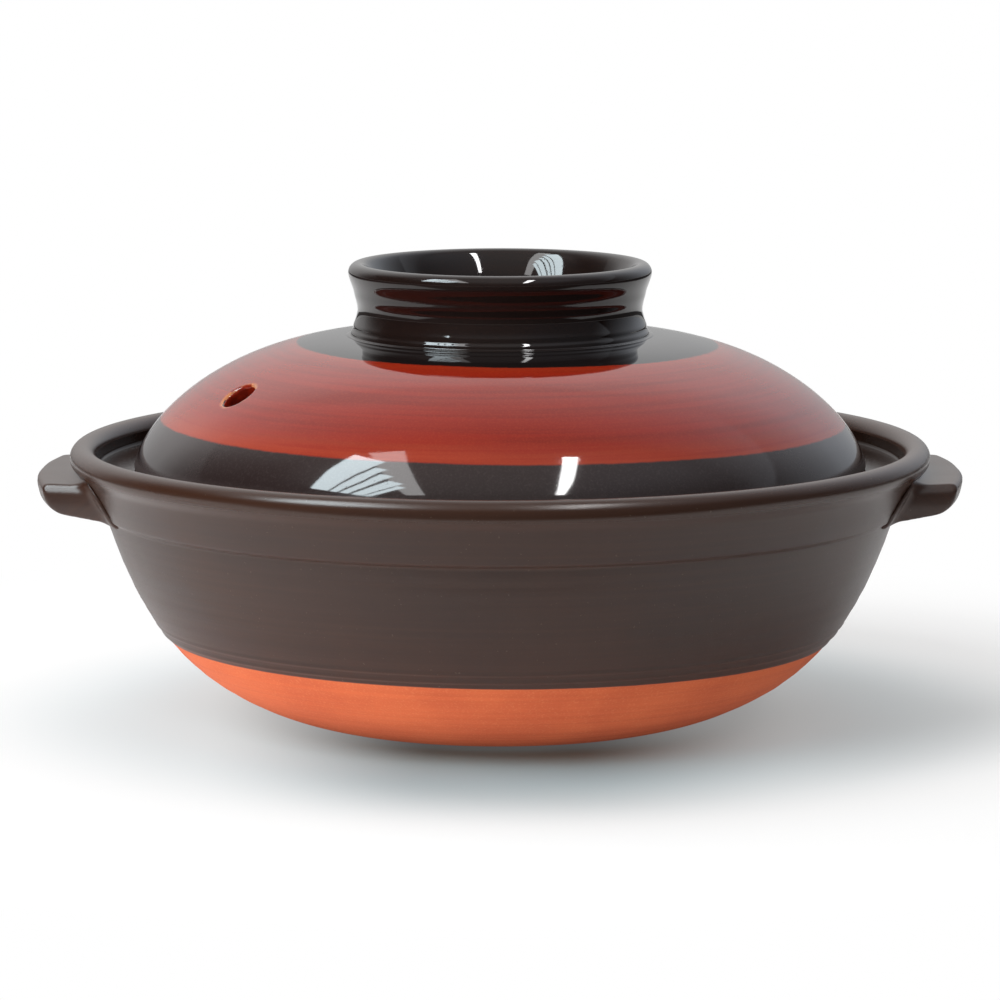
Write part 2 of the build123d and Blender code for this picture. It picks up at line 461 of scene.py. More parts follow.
def vector_math(tree, operation, feeds, output=0):
    """One step of arithmetic with vectors."""
    return put(tree, "ShaderNodeVectorMath", feeds, operation=operation).outputs[output]


def noise_value(tree, vector, scale, detail):
    """Smooth noise from 0 to 1."""
    feeds = {"Vector": vector, "Scale": scale, "Detail": detail}
    return put(tree, "ShaderNodeTexNoise", feeds).outputs[0]


def new_group(name, inputs, output):
    """An empty node group with named inputs and one output."""
    group = bpy.data.node_groups.new(name, "ShaderNodeTree")
    for label, default in inputs.items():
        socket = group.interface.new_socket(
            name=label, in_out="INPUT", socket_type="NodeSocketFloat"
        )
        socket.default_value = default
    group.interface.new_socket(name=output, in_out="OUTPUT", socket_type="NodeSocketFloat")
    entry, leave = group.nodes.new("NodeGroupInput"), group.nodes.new("NodeGroupOutput")
    return group, entry.outputs, leave.inputs[0]


def around_axis(tree):
    """The radius, the height and the direction round the axis of each point of a turned piece."""
    parts = xyz(tree, object_place(tree))
    level = put(tree, "ShaderNodeCombineXYZ", {0: parts[0], 1: parts[1]}).outputs[0]
    radius = vector_math(tree, "LENGTH", {0: level}, "Value")
    return parts, radius, vector_math(tree, "NORMALIZE", {0: level})


def wheel_marks_group():
    """Fine rings left by the wheel or the brush."""
    inputs = {"Lines per metre": 300.0, "Drift": 0.6, "Climb": 1.0, "Detail": 3.0}
    group, given, result = new_group("wheel marks", inputs, "Marks")
    parts, radius, direction = around_axis(group)
    way = calc(group, "MULTIPLY_ADD", parts[2], given["Climb"], radius)
    rings = calc(group, "MULTIPLY", way, given["Lines per metre"])
    drift = vector_math(group, "SCALE", {0: direction, "Scale": given["Drift"]})
    lift = put(group, "ShaderNodeCombineXYZ", {2: rings}).outputs[0]
    where = vector_math(group, "ADD", {0: drift, 1: lift})
    group.links.new(noise_value(group, where, 1.0, given["Detail"]), result)
    return group


def specks_group():
    """Small grains or specks, scattered evenly through the surface."""
    inputs = {"Specks per metre": 900.0, "Threshold": 0.62, "Softness": 0.06, "Detail": 1.0}
    group, given, result = new_group("specks", inputs, "Mask")
    grains = noise_value(group, object_place(group), given["Specks per metre"], given["Detail"])
    top = calc(group, "ADD", given["Threshold"], given["Softness"])
    group.links.new(ranged(group, grains, given["Threshold"], top), result)
    return group


def band_edge_group():
    """1 above the edge of a glazed band and 0 below it. The edge tilts and wavers as a hand made it."""
    inputs = {"Height": 0.1, "Tilt": 0.0, "Waver": 0.0003, "Softness": 0.0004}
    group, given, result = new_group("band edge", inputs, "Mask")
    parts, _, direction = around_axis(group)
    slow = noise_value(group, direction, 1.6, 1.0)
    quick = noise_value(group, object_place(group), 260.0, 2.0)
    wander = calc(group, "ADD", slow, calc(group, "MULTIPLY", quick, 0.35))
    wander = calc(group, "MULTIPLY_ADD", wander, 2.0, -1.35)
    height = calc(group, "MULTIPLY_ADD", wander, given["Waver"], parts[2])
    height = calc(group, "MULTIPLY_ADD", parts[0], given["Tilt"], height)
    above = calc(group, "SUBTRACT", height, given["Height"])
    half = calc(group, "MULTIPLY", given["Softness"], 0.5)
    group.links.new(ranged(group, above, calc(group, "MULTIPLY", half, -1.0), half), result)
    return group


GROUP_MAKERS = {
    "wheel marks": wheel_marks_group,
    "specks": specks_group,
    "band edge": band_edge_group,
}


def effect(tree, name, *values):
    """Places a shared effect, gives it values in the order of its inputs, and returns its output."""
    node = tree.nodes.new("ShaderNodeGroup")
    node.node_tree = bpy.data.node_groups.get(name) or GROUP_MAKERS[name]()
    for socket, value in zip(node.inputs, values):
        socket.default_value = value
    return node.outputs[0]


def start_material(name):
    """A new material with its tree and its shader."""
    material = bpy.data.materials.new(name)
    material.use_nodes = True
    tree = material.node_tree
    return material, tree, tree.nodes["Principled BSDF"]


def plug(tree, shader, colour, roughness, height, relief):
    """Feeds a shader with its colour, its roughness and the height of its finest relief."""
    tree.links.new(colour, shader.inputs["Base Color"])
    tree.links.new(roughness, shader.inputs["Roughness"])
    bump = put(tree, "ShaderNodeBump", {"Height": height, "Distance": relief})
    tree.links.new(bump.outputs[0], shader.inputs["Normal"])


def bare_clay(tree, colours):
    """Colour, roughness and height of bare fired clay: mottled, grainy, with fine turning lines."""
    lines = effect(tree, "wheel marks", 420.0, 0.8, 1.0, 3.0)
    mottle = effect(tree, "specks", 38.0, 0.36, 0.3, 3.0)
    grain = effect(tree, "specks", 1300.0, 0.5, 0.22, 2.0)
    shade = calc(tree, "MULTIPLY", mottle, 0.35)
    shade = calc(tree, "MULTIPLY_ADD", ranged(tree, lines, 0.35, 0.7), 0.25, shade)
    colour = mixed(tree, shade, colours.clay, colours.clay_dark)
    colour = mixed(tree, calc(tree, "MULTIPLY", grain, 0.3), colour, colours.clay_pale)
    roughness = calc(tree, "MULTIPLY_ADD", grain, 0.08, 0.82)
    height = calc(tree, "MULTIPLY_ADD", lines, 0.6, grain)
    return colour, roughness, height


def brown_glaze(tree, colours):
    """Colour, roughness and height of the satin brown glaze, smoother and warmer on the lip."""
    lines = effect(tree, "wheel marks", 520.0, 1.2, 1.0, 4.0)
    cloud = effect(tree, "specks", 24.0, 0.34, 0.34, 3.0)
    grain = effect(tree, "specks", 1500.0, 0.5, 0.2, 2.0)
    spark = effect(tree, "specks", 1300.0, 0.81, 0.04, 0.0)
    lip = ranged(tree, xyz(tree, object_place(tree))[2], 75 * MM, 85 * MM)
    thin = calc(tree, "MULTIPLY", cloud, 0.12)
    thin = calc(tree, "MULTIPLY_ADD", ranged(tree, lines, 0.42, 0.75), 0.12, thin)
    thin = calc(tree, "MULTIPLY_ADD", grain, 0.06, thin)
    colour = mixed(tree, thin, colours.brown, colours.brown_thin)
    colour = mixed(tree, calc(tree, "MULTIPLY", lip, 0.75), colour, colours.brown_lip)
    colour = mixed(tree, calc(tree, "MULTIPLY", spark, 0.25), colour, colours.brown_speck)
    roughness = calc(tree, "MULTIPLY_ADD", grain, 0.04, 0.36)
    roughness = calc(tree, "MULTIPLY_ADD", cloud, 0.04, roughness)
    roughness = between(tree, lip, roughness, 0.27)
    height = calc(tree, "MULTIPLY_ADD", lines, 0.6, calc(tree, "MULTIPLY", grain, 0.12))
    height = calc(tree, "MULTIPLY", height, calc(tree, "MULTIPLY_ADD", lip, -0.95, 1.0))
    return colour, roughness, height


def bowl_material(settings):
    """Satin brown glaze that ends in a line above the foot, with bare clay below it."""
    bowl, colours = settings.bowl, settings.colours
    material, tree, shader = start_material("satin_glaze_over_clay")
    glaze, glaze_roughness, glaze_height = brown_glaze(tree, colours)
    clay, clay_roughness, clay_height = bare_clay(tree, colours)
    glazed = effect(tree, "band edge", bowl.glaze_line, bowl.glaze_tilt, 0.22 * MM, 0.5 * MM)
    colour = mixed(tree, glazed, clay, glaze)
    roughness = between(tree, glazed, clay_roughness, glaze_roughness)
    height = between(tree, glazed, clay_height, glaze_height)
    plug(tree, shader, colour, roughness, height, 0.05 * MM)
    return material


def lug_material(settings):
    """The bowl's satin glaze by itself."""
    material, tree, shader = start_material("satin_glaze")
    colour, roughness, height = brown_glaze(tree, settings.colours)
    plug(tree, shader, colour, roughness, height, 0.05 * MM)
    return material


def inside_material(settings):
    """Darker and smoother brown glaze inside the bowl, with its specular turned nearly off so that the
    gallery under the lid stays dark: painted shade.
    """
    material, tree, shader = start_material("inside_glaze")
    # Painted shade: nearly no specular, so the gallery under the lid stays dark.
    shader.inputs["Specular IOR Level"].default_value = 0.06
    lines = effect(tree, "wheel marks", 260.0, 1.0, 1.0, 3.0)
    grain = effect(tree, "specks", 1100.0, 0.5, 0.2, 2.0)
    thin = calc(tree, "MULTIPLY_ADD", grain, 0.08, calc(tree, "MULTIPLY", lines, 0.2))
    colours = settings.colours
    colour = mixed(tree, thin, colours.inside, colours.brown_thin)
    roughness = calc(tree, "MULTIPLY_ADD", lines, 0.06, 0.09)
    plug(tree, shader, colour, roughness, calc(tree, "MULTIPLY_ADD", lines, 0.5, grain), 0.008 * MM)
    return material


def clay_material(settings):
    """Bare fired clay by itself, for the underside and for the seat of the lid."""
    material, tree, shader = start_material("bare_clay")
    colour, roughness, height = bare_clay(tree, settings.colours)
    plug(tree, shader, colour, roughness, height, 0.05 * MM)
    return material


def gloss_relief(tree):
    """Height of a thick gloss glaze: a very slow ripple with few pinholes."""
    ripple = effect(tree, "specks", 90.0, 0.2, 0.6, 1.0)
    pits = effect(tree, "specks", 520.0, 0.75, 0.05, 0.0)
    return calc(tree, "MULTIPLY_ADD", pits, -0.15, ripple)


def lid_material(settings):
    """Gloss glaze in bands: black crown, brushed red, speckled dark edge, and a painted sheen, paler and
    rougher, low down by the seat.
    """
    lid, colours = settings.lid, settings.colours
    material, tree, shader = start_material("banded_gloss_glaze")
    brush = effect(tree, "wheel marks", 330.0, 1.1, -1.0, 4.0)
    wide = effect(tree, "wheel marks", 70.0, 0.9, -1.0, 2.0)
    fine = effect(tree, "specks", 1500.0, 0.46, 0.2, 2.0)
    flecks = effect(tree, "specks", 900.0, 0.6, 0.08, 1.0)
    crown = effect(tree, "band edge", lid.crown_line, 0.008, 0.25 * MM, 0.25 * MM)
    red_zone = effect(tree, "band edge", lid.red_line, 0.0085, 0.5 * MM, 0.7 * MM)
    past_warm = effect(tree, "band edge", lid.red_line + 4 * MM, 0.0085, 2.5 * MM, 9.0 * MM)
    near_crown = effect(tree, "band edge", lid.crown_line - 0.75 * MM, 0.008, 0.5 * MM, 2.5 * MM)

    stroke = calc(tree, "MULTIPLY", wide, 0.5)
    stroke = calc(tree, "MULTIPLY_ADD", ranged(tree, brush, 0.38, 0.66), 0.4, stroke)
    red = mixed(tree, stroke, colours.red, colours.red_deep)
    warm = calc(tree, "MULTIPLY", calc(tree, "SUBTRACT", 1.0, past_warm), 0.5)
    warm = calc(tree, "MAXIMUM", warm, calc(tree, "MULTIPLY", near_crown, 0.3))
    warm = calc(tree, "MULTIPLY", warm, ranged(tree, brush, 0.3, 0.6))
    red = mixed(tree, warm, red, colours.red_warm)
    faint = calc(tree, "MULTIPLY", fine, 0.12)
    red = mixed(tree, faint, red, colours.red_warm)
    dark = mixed(tree, faint, colours.dark, colours.dark_speck)
    dark = mixed(tree, calc(tree, "MULTIPLY", flecks, 0.14), dark, colours.dark_speck)
    colour = mixed(tree, red_zone, dark, red)
    colour = mixed(tree, crown, colour, colours.black)

    place = object_place(tree)
    away = vector_math(tree, "DISTANCE", {0: place, 1: hole_centre(lid)}, "Value")
    ring = ranged(tree, away, lid.hole_radius + 0.4 * MM, lid.hole_radius + 2.0 * MM, 1.0, 0.0)
    patches = effect(tree, "specks", 210.0, 0.42, 0.14, 2.0)
    colour = mixed(tree, calc(tree, "MULTIPLY", ring, patches), colour, colours.rim_break)
    roughness = calc(tree, "MULTIPLY_ADD", fine, 0.015, 0.045)
    # Painted sheen: low down by the seat the colour turns paler, and the glaze rougher.
    edge = ranged(tree, xyz(tree, place)[2], lid.seat + 1.5 * MM, lid.seat + 7 * MM, 1.0, 0.0)
    colour = mixed(tree, calc(tree, "MULTIPLY", edge, 0.75), colour, colours.dark_speck)
    roughness = between(tree, edge, roughness, 0.42)
    plug(tree, shader, colour, roughness, gloss_relief(tree), 0.015 * MM)
    return material


def bore_material(settings):
    """Red-brown gloss glaze that has run into the steam hole."""
    material, tree, shader = start_material("steam_hole_glaze")
    pool = effect(tree, "specks", 260.0, 0.35, 0.3, 2.0)
    colours = settings.colours
    colour = mixed(tree, pool, colours.red_deep, colours.red)
    roughness = calc(tree, "MULTIPLY_ADD", pool, 0.05, 0.06)
    plug(tree, shader, colour, roughness, pool, 0.12 * MM)
    return material


def black_material(settings, name="black_gloss_glaze"):
    """Glossy near-black glaze."""
    material, tree, shader = start_material(name)
    marks = effect(tree, "wheel marks", 240.0, 1.0, 1.0, 3.0)
    fine = effect(tree, "specks", 1400.0, 0.52, 0.2, 2.0)
    colours = settings.colours
    thin = calc(tree, "MULTIPLY_ADD", fine, 0.06, calc(tree, "MULTIPLY", marks, 0.12))
    colour = mixed(tree, thin, colours.black, colours.brown_thin)
    roughness = calc(tree, "MULTIPLY_ADD", fine, 0.015, 0.04)
    height = calc(tree, "MULTIPLY_ADD", marks, 0.5, gloss_relief(tree))
    plug(tree, shader, colour, roughness, height, 0.015 * MM)
    return material


# Bowl


def bowl_outline(bowl):
    """From the middle of the underside out to the foot, up the wall, over the lip and down inside."""
    lip = bowl.lip_thickness / 2
    lip_middle = Vector((bowl.rim_radius - lip, bowl.rim_height - lip))
    band_top = lip_middle + polar(-bowl.lip_curl, lip)
    band_foot = band_top - Vector((bowl.band_taper, bowl.band_height))
    wall_top = band_foot - Vector((bowl.step_depth, bowl.step_drop))
    foot = Vector((bowl.foot_radius, 0))
    foot_inside = Vector((bowl.foot_radius - bowl.foot_width, 0))
    recess = foot_inside + Vector((-bowl.foot_recess, bowl.foot_recess))
    middle = Vector((0, bowl.foot_recess))
    climb, lean = bowl.wall_foot_climb, math.radians(270) - bowl.wall_top_lean
    wall = curve(foot, wall_top, climb, bowl.wall_foot_pull, lean, bowl.wall_top_pull, 190)
    lip_start = math.radians(38) - bowl.lip_curl
    lip_line = arc(lip_middle, lip, lip_start, math.pi, 30)
    band_end = band_foot.lerp(band_top, 0.84)
    band_rise = math.atan2(bowl.band_height, bowl.band_taper)
    under_lip = curve(
        band_end, lip_line[0], band_rise, 1.6 * MM, lip_start - math.pi / 2, 1.6 * MM, 8
    )
    ledge_outer = Vector((lip_middle.x - lip, lip_middle.y - bowl.ledge_drop))
    ledge_inner = Vector((bowl.ledge_radius, ledge_outer.y))
    nose_foot = ledge_inner - Vector((0, bowl.ledge_nose))
    floor_edge = Vector((bowl.floor_radius, bowl.foot_recess + bowl.floor_thickness))
    floor_middle = Vector((0, floor_edge.y))

    hollow = inset(wall[::-1], bowl.wall_thickness)
    kept = [point for point in hollow if floor_edge.y + 6 * MM < point.y < nose_foot.y - 14 * MM]
    into = kept[0] - kept[1]
    out_of = kept[-1] - kept[-2]
    shoulder = curve(
        nose_foot, kept[0], math.radians(-90), 5 * MM, math.atan2(into.y, into.x), 5 * MM, 8
    )
    hip = curve(kept[-1], floor_edge, math.atan2(out_of.y, out_of.x), 9 * MM, 0, 8 * MM, 10)
    near_ridges = bowl.glaze_line - 2 * MM, bowl.upper_ridge + 2 * MM
    outside = [
        point
        for index, point in enumerate(wall[4:-3])
        if index % 2 == 0 or near_ridges[0] < point.y < near_ridges[1]
    ]
    return [
        *straight(middle, recess + Vector((-2 * MM, 0)), 4),
        *soft_corner(middle, recess, foot_inside, 0.5 * MM, 3),
        *soft_corner(recess, foot_inside, foot, 0.4 * MM, 4),
        *soft_corner(foot_inside, foot, wall[8], 0.7 * MM, 5),
        *outside,
        *soft_corner(wall[-4], wall_top, band_foot, 1.0 * MM, 6),
        *soft_corner(wall_top, band_foot, band_top, bowl.step_round, 7),
        *straight(band_foot.lerp(band_top, 0.12), band_end, 8),
        *under_lip[1:-1],
        *lip_line,
        *soft_corner(lip_line[-1], ledge_outer, ledge_inner, bowl.ledge_round, 7),
        *straight(ledge_outer.lerp(ledge_inner, 0.2), ledge_outer.lerp(ledge_inner, 0.8), 5),
        *soft_corner(ledge_outer, ledge_inner, nose_foot, bowl.ledge_round, 6),
        *shoulder,
        *kept[1:-1:5],
        *hip,
        *straight(floor_edge + Vector((-6 * MM, 0)), floor_middle, 4),
    ]


def shape_wall(shape, bowl):
    """Gives the outside its wheel marks, its two fine ridges, and a step down from glaze to clay."""
    ledge = bowl.rim_height - bowl.lip_thickness
    for vert in shape.verts:
        place = vert.co
        radius = math.hypot(place.x, place.y)
        facing = (vert.normal.x * place.x + vert.normal.y * place.y) / max(radius, MM)
        if facing < 0.05 or radius < bowl.foot_radius:
            continue
        wall_share = 1 - 0.9 * smooth_share(place.z, 62 * MM, 67 * MM)
        foot_share = smooth_share(place.z, 1.5 * MM, 7 * MM)
        lift = bowl.mark_height * wall_share * wheel_mark(place, 1, bowl.mark_spacing, 0.9)
        for ridge in (bowl.lower_ridge, bowl.upper_ridge):
            lift += bowl.ridge_height * math.exp(-(((place.z - ridge) / bowl.ridge_width) ** 2))
        line = bowl.glaze_line - bowl.glaze_tilt * place.x
        lift -= bowl.glaze_depth * (1 - smooth_share(place.z, line - 0.5 * MM, line + 0.3 * MM))
        if place.z < ledge:
            place += vert.normal * (lift * foot_share)


class DONABE_OT_bowl(bpy.types.Operator):
    """Turn the bowl with its lip, band, ledge and foot"""

    bl_idname = "donabe.build_bowl"
    bl_label = "Build bowl"
    bl_options = {"REGISTER", "UNDO"}

    def execute(self, context):
        settings = context.scene.donabe
        bowl = settings.bowl
        shape = turned(bowl_outline(bowl), bowl.steps)
        shape_wall(shape, bowl)
        lip_middle = bowl.rim_height - bowl.lip_thickness / 2
        lip_inside = bowl.rim_radius - bowl.lip_thickness + 0.2 * MM
        for face in shape.faces:
            place = face.calc_center_median()
            reach = place.xy.length
            inwards = face.normal.x * place.x + face.normal.y * place.y < 0
            if place.z < bowl.foot_recess + 0.5 * MM and reach < bowl.foot_radius:
                face.material_index = 2
            elif place.z < lip_middle and reach < lip_inside and (inwards or face.normal.z > 0.5):
                face.material_index = 1
        materials = [bowl_material(settings), inside_material(settings), clay_material(settings)]
        make_piece(BOWL_PIECE, shape, materials, "pot", "satin_brown_glaze", "bowl")
        return {"FINISHED"}


# Lugs


def lug_slab(lugs):
    """A slab along the rim: its section turned part of the way, cut off square, with soft edges."""
    bottom = lugs.top - lugs.root_thickness
    tip = Vector((lugs.reach, 0, lugs.top))
    tip_foot = Vector((lugs.reach - lugs.tip_lean, 0, lugs.top - lugs.tip_thickness))
    corners = (
        (lugs.root_top_radius, 0, lugs.top),
        tip,
        tip_foot,
        (lugs.band_foot, 0, bottom),
        (lugs.root_radius, 0, bottom),
    )
    shape = bmesh.new()
    shape.faces.new([shape.verts.new(corner) for corner in corners])
    for corner, cut in ((tip, lugs.top_round), (tip_foot, lugs.bottom_round)):
        nearest = min(shape.verts, key=lambda vert: (vert.co - corner).length)
        rounded(shape, [nearest], cut, 7, "VERTICES")
    half_span = lugs.span / 2
    half_turn = math.asin(half_span / lugs.root_radius) * 1.1
    start = Matrix.Rotation(-half_turn, 3, "Z")
    bmesh.ops.rotate(shape, verts=shape.verts, cent=NOWHERE, matrix=start)
    bmesh.ops.spin(
        shape, geom=everything(shape), cent=NOWHERE, axis=UP, angle=half_turn * 2, steps=44
    )
    facing = polar(lugs.facet_tilt, 1)
    end_way = polar(math.pi / 2 - lugs.end_taper, 1)
    root_corner = Vector((lugs.root_top_radius, half_span))
    offset = end_way.dot(root_corner) - lugs.corner_round
    reach = lugs.reach - lugs.corner_round
    across = Vector((end_way.y, -end_way.x)) * math.sqrt(reach * reach - offset * offset)
    corner_middle = end_way * offset + across
    cuts = [
        ((*root_corner, 0), (*end_way, 0)),
        ((*root_corner, lugs.top - lugs.end_facet), (*(end_way * facing.x), facing.y)),
    ]
    for turn in (26, 44, 62):
        way = polar(math.radians(turn), 1)
        cuts.append(((*(corner_middle + way * lugs.corner_round), 0), (*way, 0)))
    for side in (-1, 1):
        mirrored = Vector((1, side, 1))
        for place, way in cuts:
            cut = bmesh.ops.bisect_plane(
                shape,
                geom=everything(shape),
                plane_co=Vector(place) * mirrored,
                plane_no=Vector(way) * mirrored,
                clear_outer=True,
            )
            rim = [item for item in cut["geom_cut"] if isinstance(item, bmesh.types.BMEdge)]
            bmesh.ops.edgeloop_fill(shape, edges=rim)
    bmesh.ops.remove_doubles(shape, verts=shape.verts, dist=SAME_PLACE)
    bmesh.ops.recalc_face_normals(shape, faces=shape.faces)
    ends = [
        edge
        for edge in shape.edges
        if all(abs(vert.co.y) > half_span - 7 * MM for vert in edge.verts)
        and edge.calc_face_angle(0) > math.radians(20)
        and any(vert.co.xy.length > lugs.root_radius + 0.1 * MM for vert in edge.verts)
    ]
    rounded(shape, ends, lugs.end_round, 5, "EDGES")
    return shape


def evenly_meshed(shape, size):
    """The same closed shape in an even mesh, as soft clay to be shaped further."""
    block = as_object("lug_clay", shape)
    mesh = block.data
    remesh = block.modifiers.new("even mesh", "REMESH")
    remesh.mode = "VOXEL"
    remesh.voxel_size = size
    even = bmesh.new()
    even.from_object(block, bpy.context.evaluated_depsgraph_get())
    bpy.data.objects.remove(block)
    bpy.data.meshes.remove(mesh)
    return even


def soften(shape, times):
    """Smooths a shape a little, as a wet finger does."""
    for _ in range(times):
        bmesh.ops.smooth_vert(
            shape, verts=shape.verts, factor=0.5, use_axis_x=True, use_axis_y=True, use_axis_z=True
        )
    shape.normal_update()


class DONABE_OT_lugs(bpy.types.Operator):
    """Press a lug on each side of the bowl and smooth its joint"""

    bl_idname = "donabe.build_lugs"
    bl_label = "Build lugs"
    bl_options = {"REGISTER", "UNDO"}

    def execute(self, context):
        settings = context.scene.donabe
        lugs = settings.lugs
        bowl = bpy.data.objects.get(BOWL_PIECE)
        if bowl is None:
            raise RuntimeError("Build the bowl before its lugs.")
        wall = BVHTree.FromObject(bowl, context.evaluated_depsgraph_get())
        material = lug_material(settings)
        for name, side in (("lug_right", 1), ("lug_left", -1)):
            shape = evenly_meshed(lug_slab(lugs), lugs.grain)
            bmesh.ops.scale(shape, vec=(side, 1, 1), verts=shape.verts)
            bmesh.ops.recalc_face_normals(shape, faces=shape.faces)
            soften(shape, 2)
            for vert in shape.verts:
                near, outwards, _, distance = wall.find_nearest(vert.co)
                on_top = smooth_share(vert.normal.z, 0.15, 0.6)
                if (vert.co - near).dot(outwards) < 0:
                    distance = 3 * max(distance - (1 - on_top) * 1.2 * MM, 0)
                size = lugs.join_fillet + (lugs.top_fillet - lugs.join_fillet) * on_top
                short = max(size - distance, 0.0)
                flare = size - math.sqrt(size * size - short * short)
                sway = lugs.unevenness * noise.noise(vert.co / (17 * MM)) * min(1, distance / (4 * MM))
                vert.co += vert.normal * (flare + sway)
                rise = (lugs.top - vert.co.z) / lugs.root_thickness - 0.42
                end = smooth_share(abs(vert.co.y), 0.6 * lugs.span / 2, lugs.span / 2)
                vert.co.y -= math.copysign(lugs.belly * 3 * max(rise, 0.0) ** 2 * end, vert.co.y)
            soften(shape, 2)
            make_piece(name + "_glazed", shape, [material], "pot", "satin_brown_glaze", name)
        return {"FINISHED"}


# Lid


def hole_centre(lid):
    """Middle of the steam hole on the dome's surface."""
    level = polar(lid.hole_turn, lid.hole_distance)
    return Vector((level.x, level.y, lid.hole_height))


def hole_way(lid):
    """Unit direction out of the steam hole."""
    level = polar(lid.hole_turn, math.sin(lid.hole_tilt))
    return Vector((level.x, level.y, math.cos(lid.hole_tilt)))


def lid_outline(lid):
    """From the middle of the crown down the dome, round the seat and back up inside."""
    crown = Vector((lid.crown_radius, lid.crown))
    edge = Vector((lid.radius, lid.seat))
    lean = math.pi / 2 + lid.edge_lean
    dome = curve(crown, edge, -lid.crown_fall, lid.crown_pull, lean, lid.edge_pull, 96)
    vault = [point for point in inset(dome, lid.thickness) if point.y > lid.seat + 1 * MM]
    seat_inner = Vector((vault[-1].x + 0.3 * MM, lid.seat))
    return [
        *straight((0, lid.crown), crown, 14),
        *dome[1:-4],
        *soft_corner(dome[-5], edge, seat_inner, lid.edge_round, 7),
        *soft_corner(edge, seat_inner, vault[-3], lid.edge_round, 6),
        *vault[-3::-2],
        *straight(vault[0], (0, vault[0].y), 8),
    ]


def pierce(shape, centre, way, radius, rounding):
    """Opens a round hole with soft rims through both skins of a closed shape."""
    skins = BVHTree.FromBMesh(shape)
    clear = radius + 3.2 * MM
    across = way.orthogonal().normalized()
    beside = way.cross(across)
    shape.faces.ensure_lookup_table()
    ends = []
    for side in (1, -1):
        gone = []
        for face in shape.faces:
            offset = face.calc_center_median() - centre
            level = offset - way * offset.dot(way)
            near = level.length < clear and abs(offset.dot(way)) < 20 * MM
            if near and face.normal.dot(way) * side > 0.3:
                gone.append(face)
        bmesh.ops.delete(shape, geom=gone, context="FACES")
        rim = [
            edge
            for edge in shape.edges
            if edge.is_boundary and edge.link_faces[0].normal.dot(way) * side > 0.3
        ]
        loop = list({vert for edge in rim for vert in edge.verts})
        turns = {
            vert: math.atan2((vert.co - centre).dot(beside), (vert.co - centre).dot(across))
            for vert in loop
        }
        order = sorted(loop, key=turns.get)
        first = turns[order[0]]
        even = {vert: first + math.tau * index / len(order) for index, vert in enumerate(order)}

        def seat(vert, turn, reach, depth):
            """Puts a vertex at its place round the hole, some depth below the skin."""
            start = centre + (across * math.cos(turn) + beside * math.sin(turn)) * reach
            hit = skins.ray_cast(start + way * side * 12 * MM, way * -side)[0]
            vert.co = hit - way * side * depth

        for vert in loop:
            seat(vert, turns[vert] * 0.5 + even[vert] * 0.5, clear, 0.0)
        rings = [(radius + 2.1 * MM, 0.0), (radius + rounding + 0.25 * MM, 0.0)]
        for step in range(1, 7):
            lean = step / 6 * math.pi / 2
            rings.append(
                (radius + rounding * (1 - math.sin(lean)), rounding * (1 - math.cos(lean)))
            )
        for reach, depth in rings:
            before, even = even, {}
            grown = bmesh.ops.extrude_edge_only(shape, edges=rim)["geom"]
            edges = [item for item in grown if isinstance(item, bmesh.types.BMEdge)]
            rim = [edge for edge in edges if edge.is_boundary]
            for vert in [item for item in grown if isinstance(item, bmesh.types.BMVert)]:
                neighbours = [edge.other_vert(vert) for edge in vert.link_edges]
                parent = next(other for other in neighbours if other in before)
                even[vert] = before[parent]
            for vert, turn in even.items():
                seat(vert, turn, reach, depth)
        ends.append(rim)
    bmesh.ops.bridge_loops(shape, edges=ends[0] + ends[1])
    bmesh.ops.recalc_face_normals(shape, faces=shape.faces)
    shape.normal_update()


class DONABE_OT_lid(bpy.types.Operator):
    """Turn the lid's dome and pierce its steam hole"""

    bl_idname = "donabe.build_lid"
    bl_label = "Build lid"
    bl_options = {"REGISTER", "UNDO"}

    def execute(self, context):
        settings = context.scene.donabe
        lid = settings.lid
        shape = turned(lid_outline(lid), lid.steps)
        for vert in shape.verts:
            free = smooth_share(vert.co.z, lid.seat + 2 * MM, lid.seat + 8 * MM)
            free *= 1 - smooth_share(vert.co.z, lid.crown - 0.6 * MM, lid.crown - 0.1 * MM)
            sway = noise.noise(vert.co / (30 * MM)) + 0.25 * wheel_mark(vert.co, -1, 8 * MM, 0.8)
            vert.co += vert.normal * (lid.sway * sway * free)
        shape.normal_update()
        centre, way = hole_centre(lid), hole_way(lid)
        pierce(shape, centre, way, lid.hole_radius, lid.hole_round)
        for face in shape.faces:
            place = face.calc_center_median()
            offset = place - centre
            reach = (offset - way * offset.dot(way)).length
            outwards = face.normal.x * place.x + face.normal.y * place.y > 0
            if reach < lid.hole_radius + 0.2 * MM and abs(offset.dot(way)) < 12 * MM:
                face.material_index = 3
            elif place.z < lid.seat + 0.4 * MM:
                face.material_index = 2
            elif place.z < lid.crown - lid.thickness / 2 and not outwards:
                face.material_index = 1
        materials = [
            lid_material(settings),
            black_material(settings, "lid_inside_glaze"),
            clay_material(settings),
            bore_material(settings),
        ]
        make_piece("lid_dome_glazed", shape, materials, "lid", "banded_gloss_glaze", "lid_dome")
        return {"FINISHED"}


# Knob


